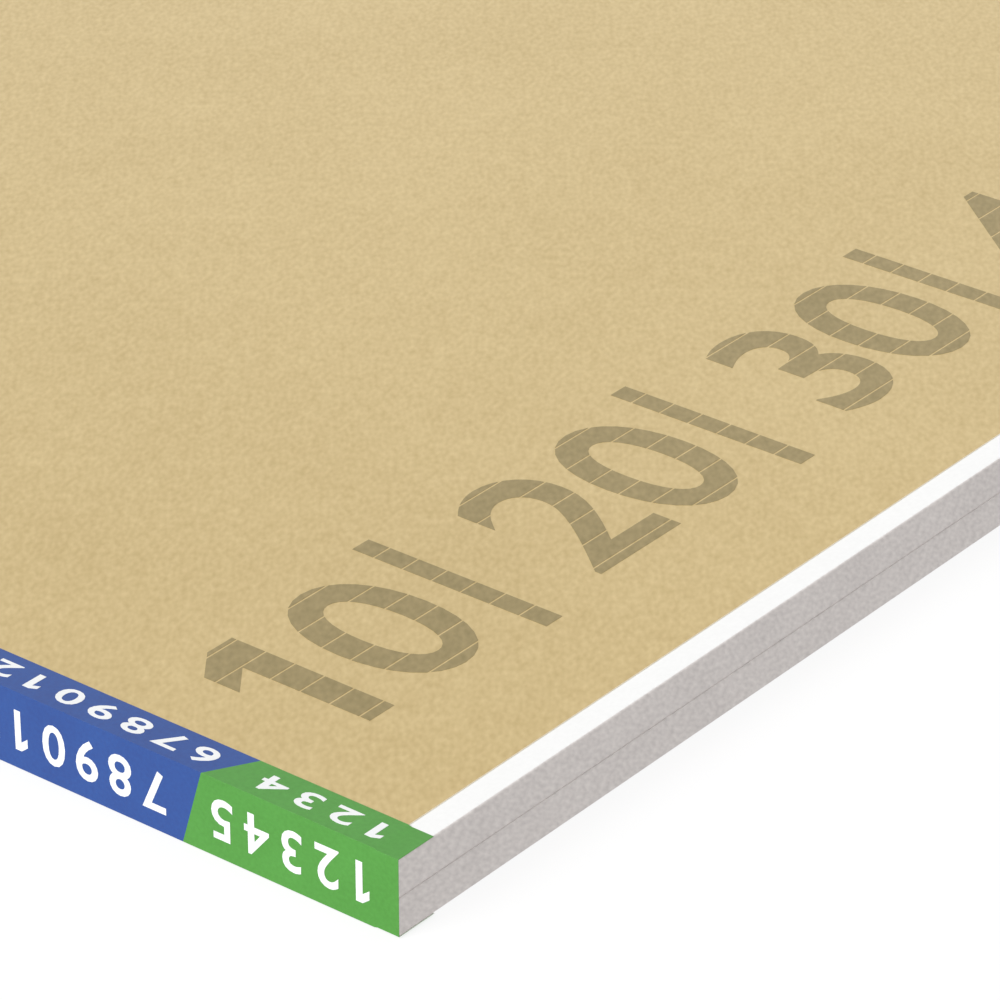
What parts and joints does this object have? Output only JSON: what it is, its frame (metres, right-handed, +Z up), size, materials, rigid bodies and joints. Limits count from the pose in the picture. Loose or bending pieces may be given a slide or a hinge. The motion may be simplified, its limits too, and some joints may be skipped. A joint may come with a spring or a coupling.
{
  "type": "drywall sheet pair",
  "caption": "Taped pair of drywall sheets, face to face with brown back paper outwards, white face paper lapped over the long edges and a folded tape over each cut end.",
  "frame": {"origin": "on the ground, under the middle of the pair: the centre of its box, at the bottom", "axes": "+X across the sheets, +Y along them from one cut end to the other, +Z up through their thickness"},
  "size_m": [1.22, 2.4402, 0.0203],
  "materials": {
    "gypsum": "matt, chalky",
    "face_paper": "matt",
    "back_paper": "matt kraft",
    "end_tape": "printed, satin"
  },
  "bodies": {
    "root": {"lower_gypsum_core": "gypsum", "lower_face_paper": "face_paper", "lower_back_paper": "back_paper", "upper_gypsum_core": "gypsum", "upper_face_paper": "face_paper", "upper_back_paper": "back_paper", "front_end_tape": "end_tape", "rear_end_tape": "end_tape"}
  },
  "joints": []
}
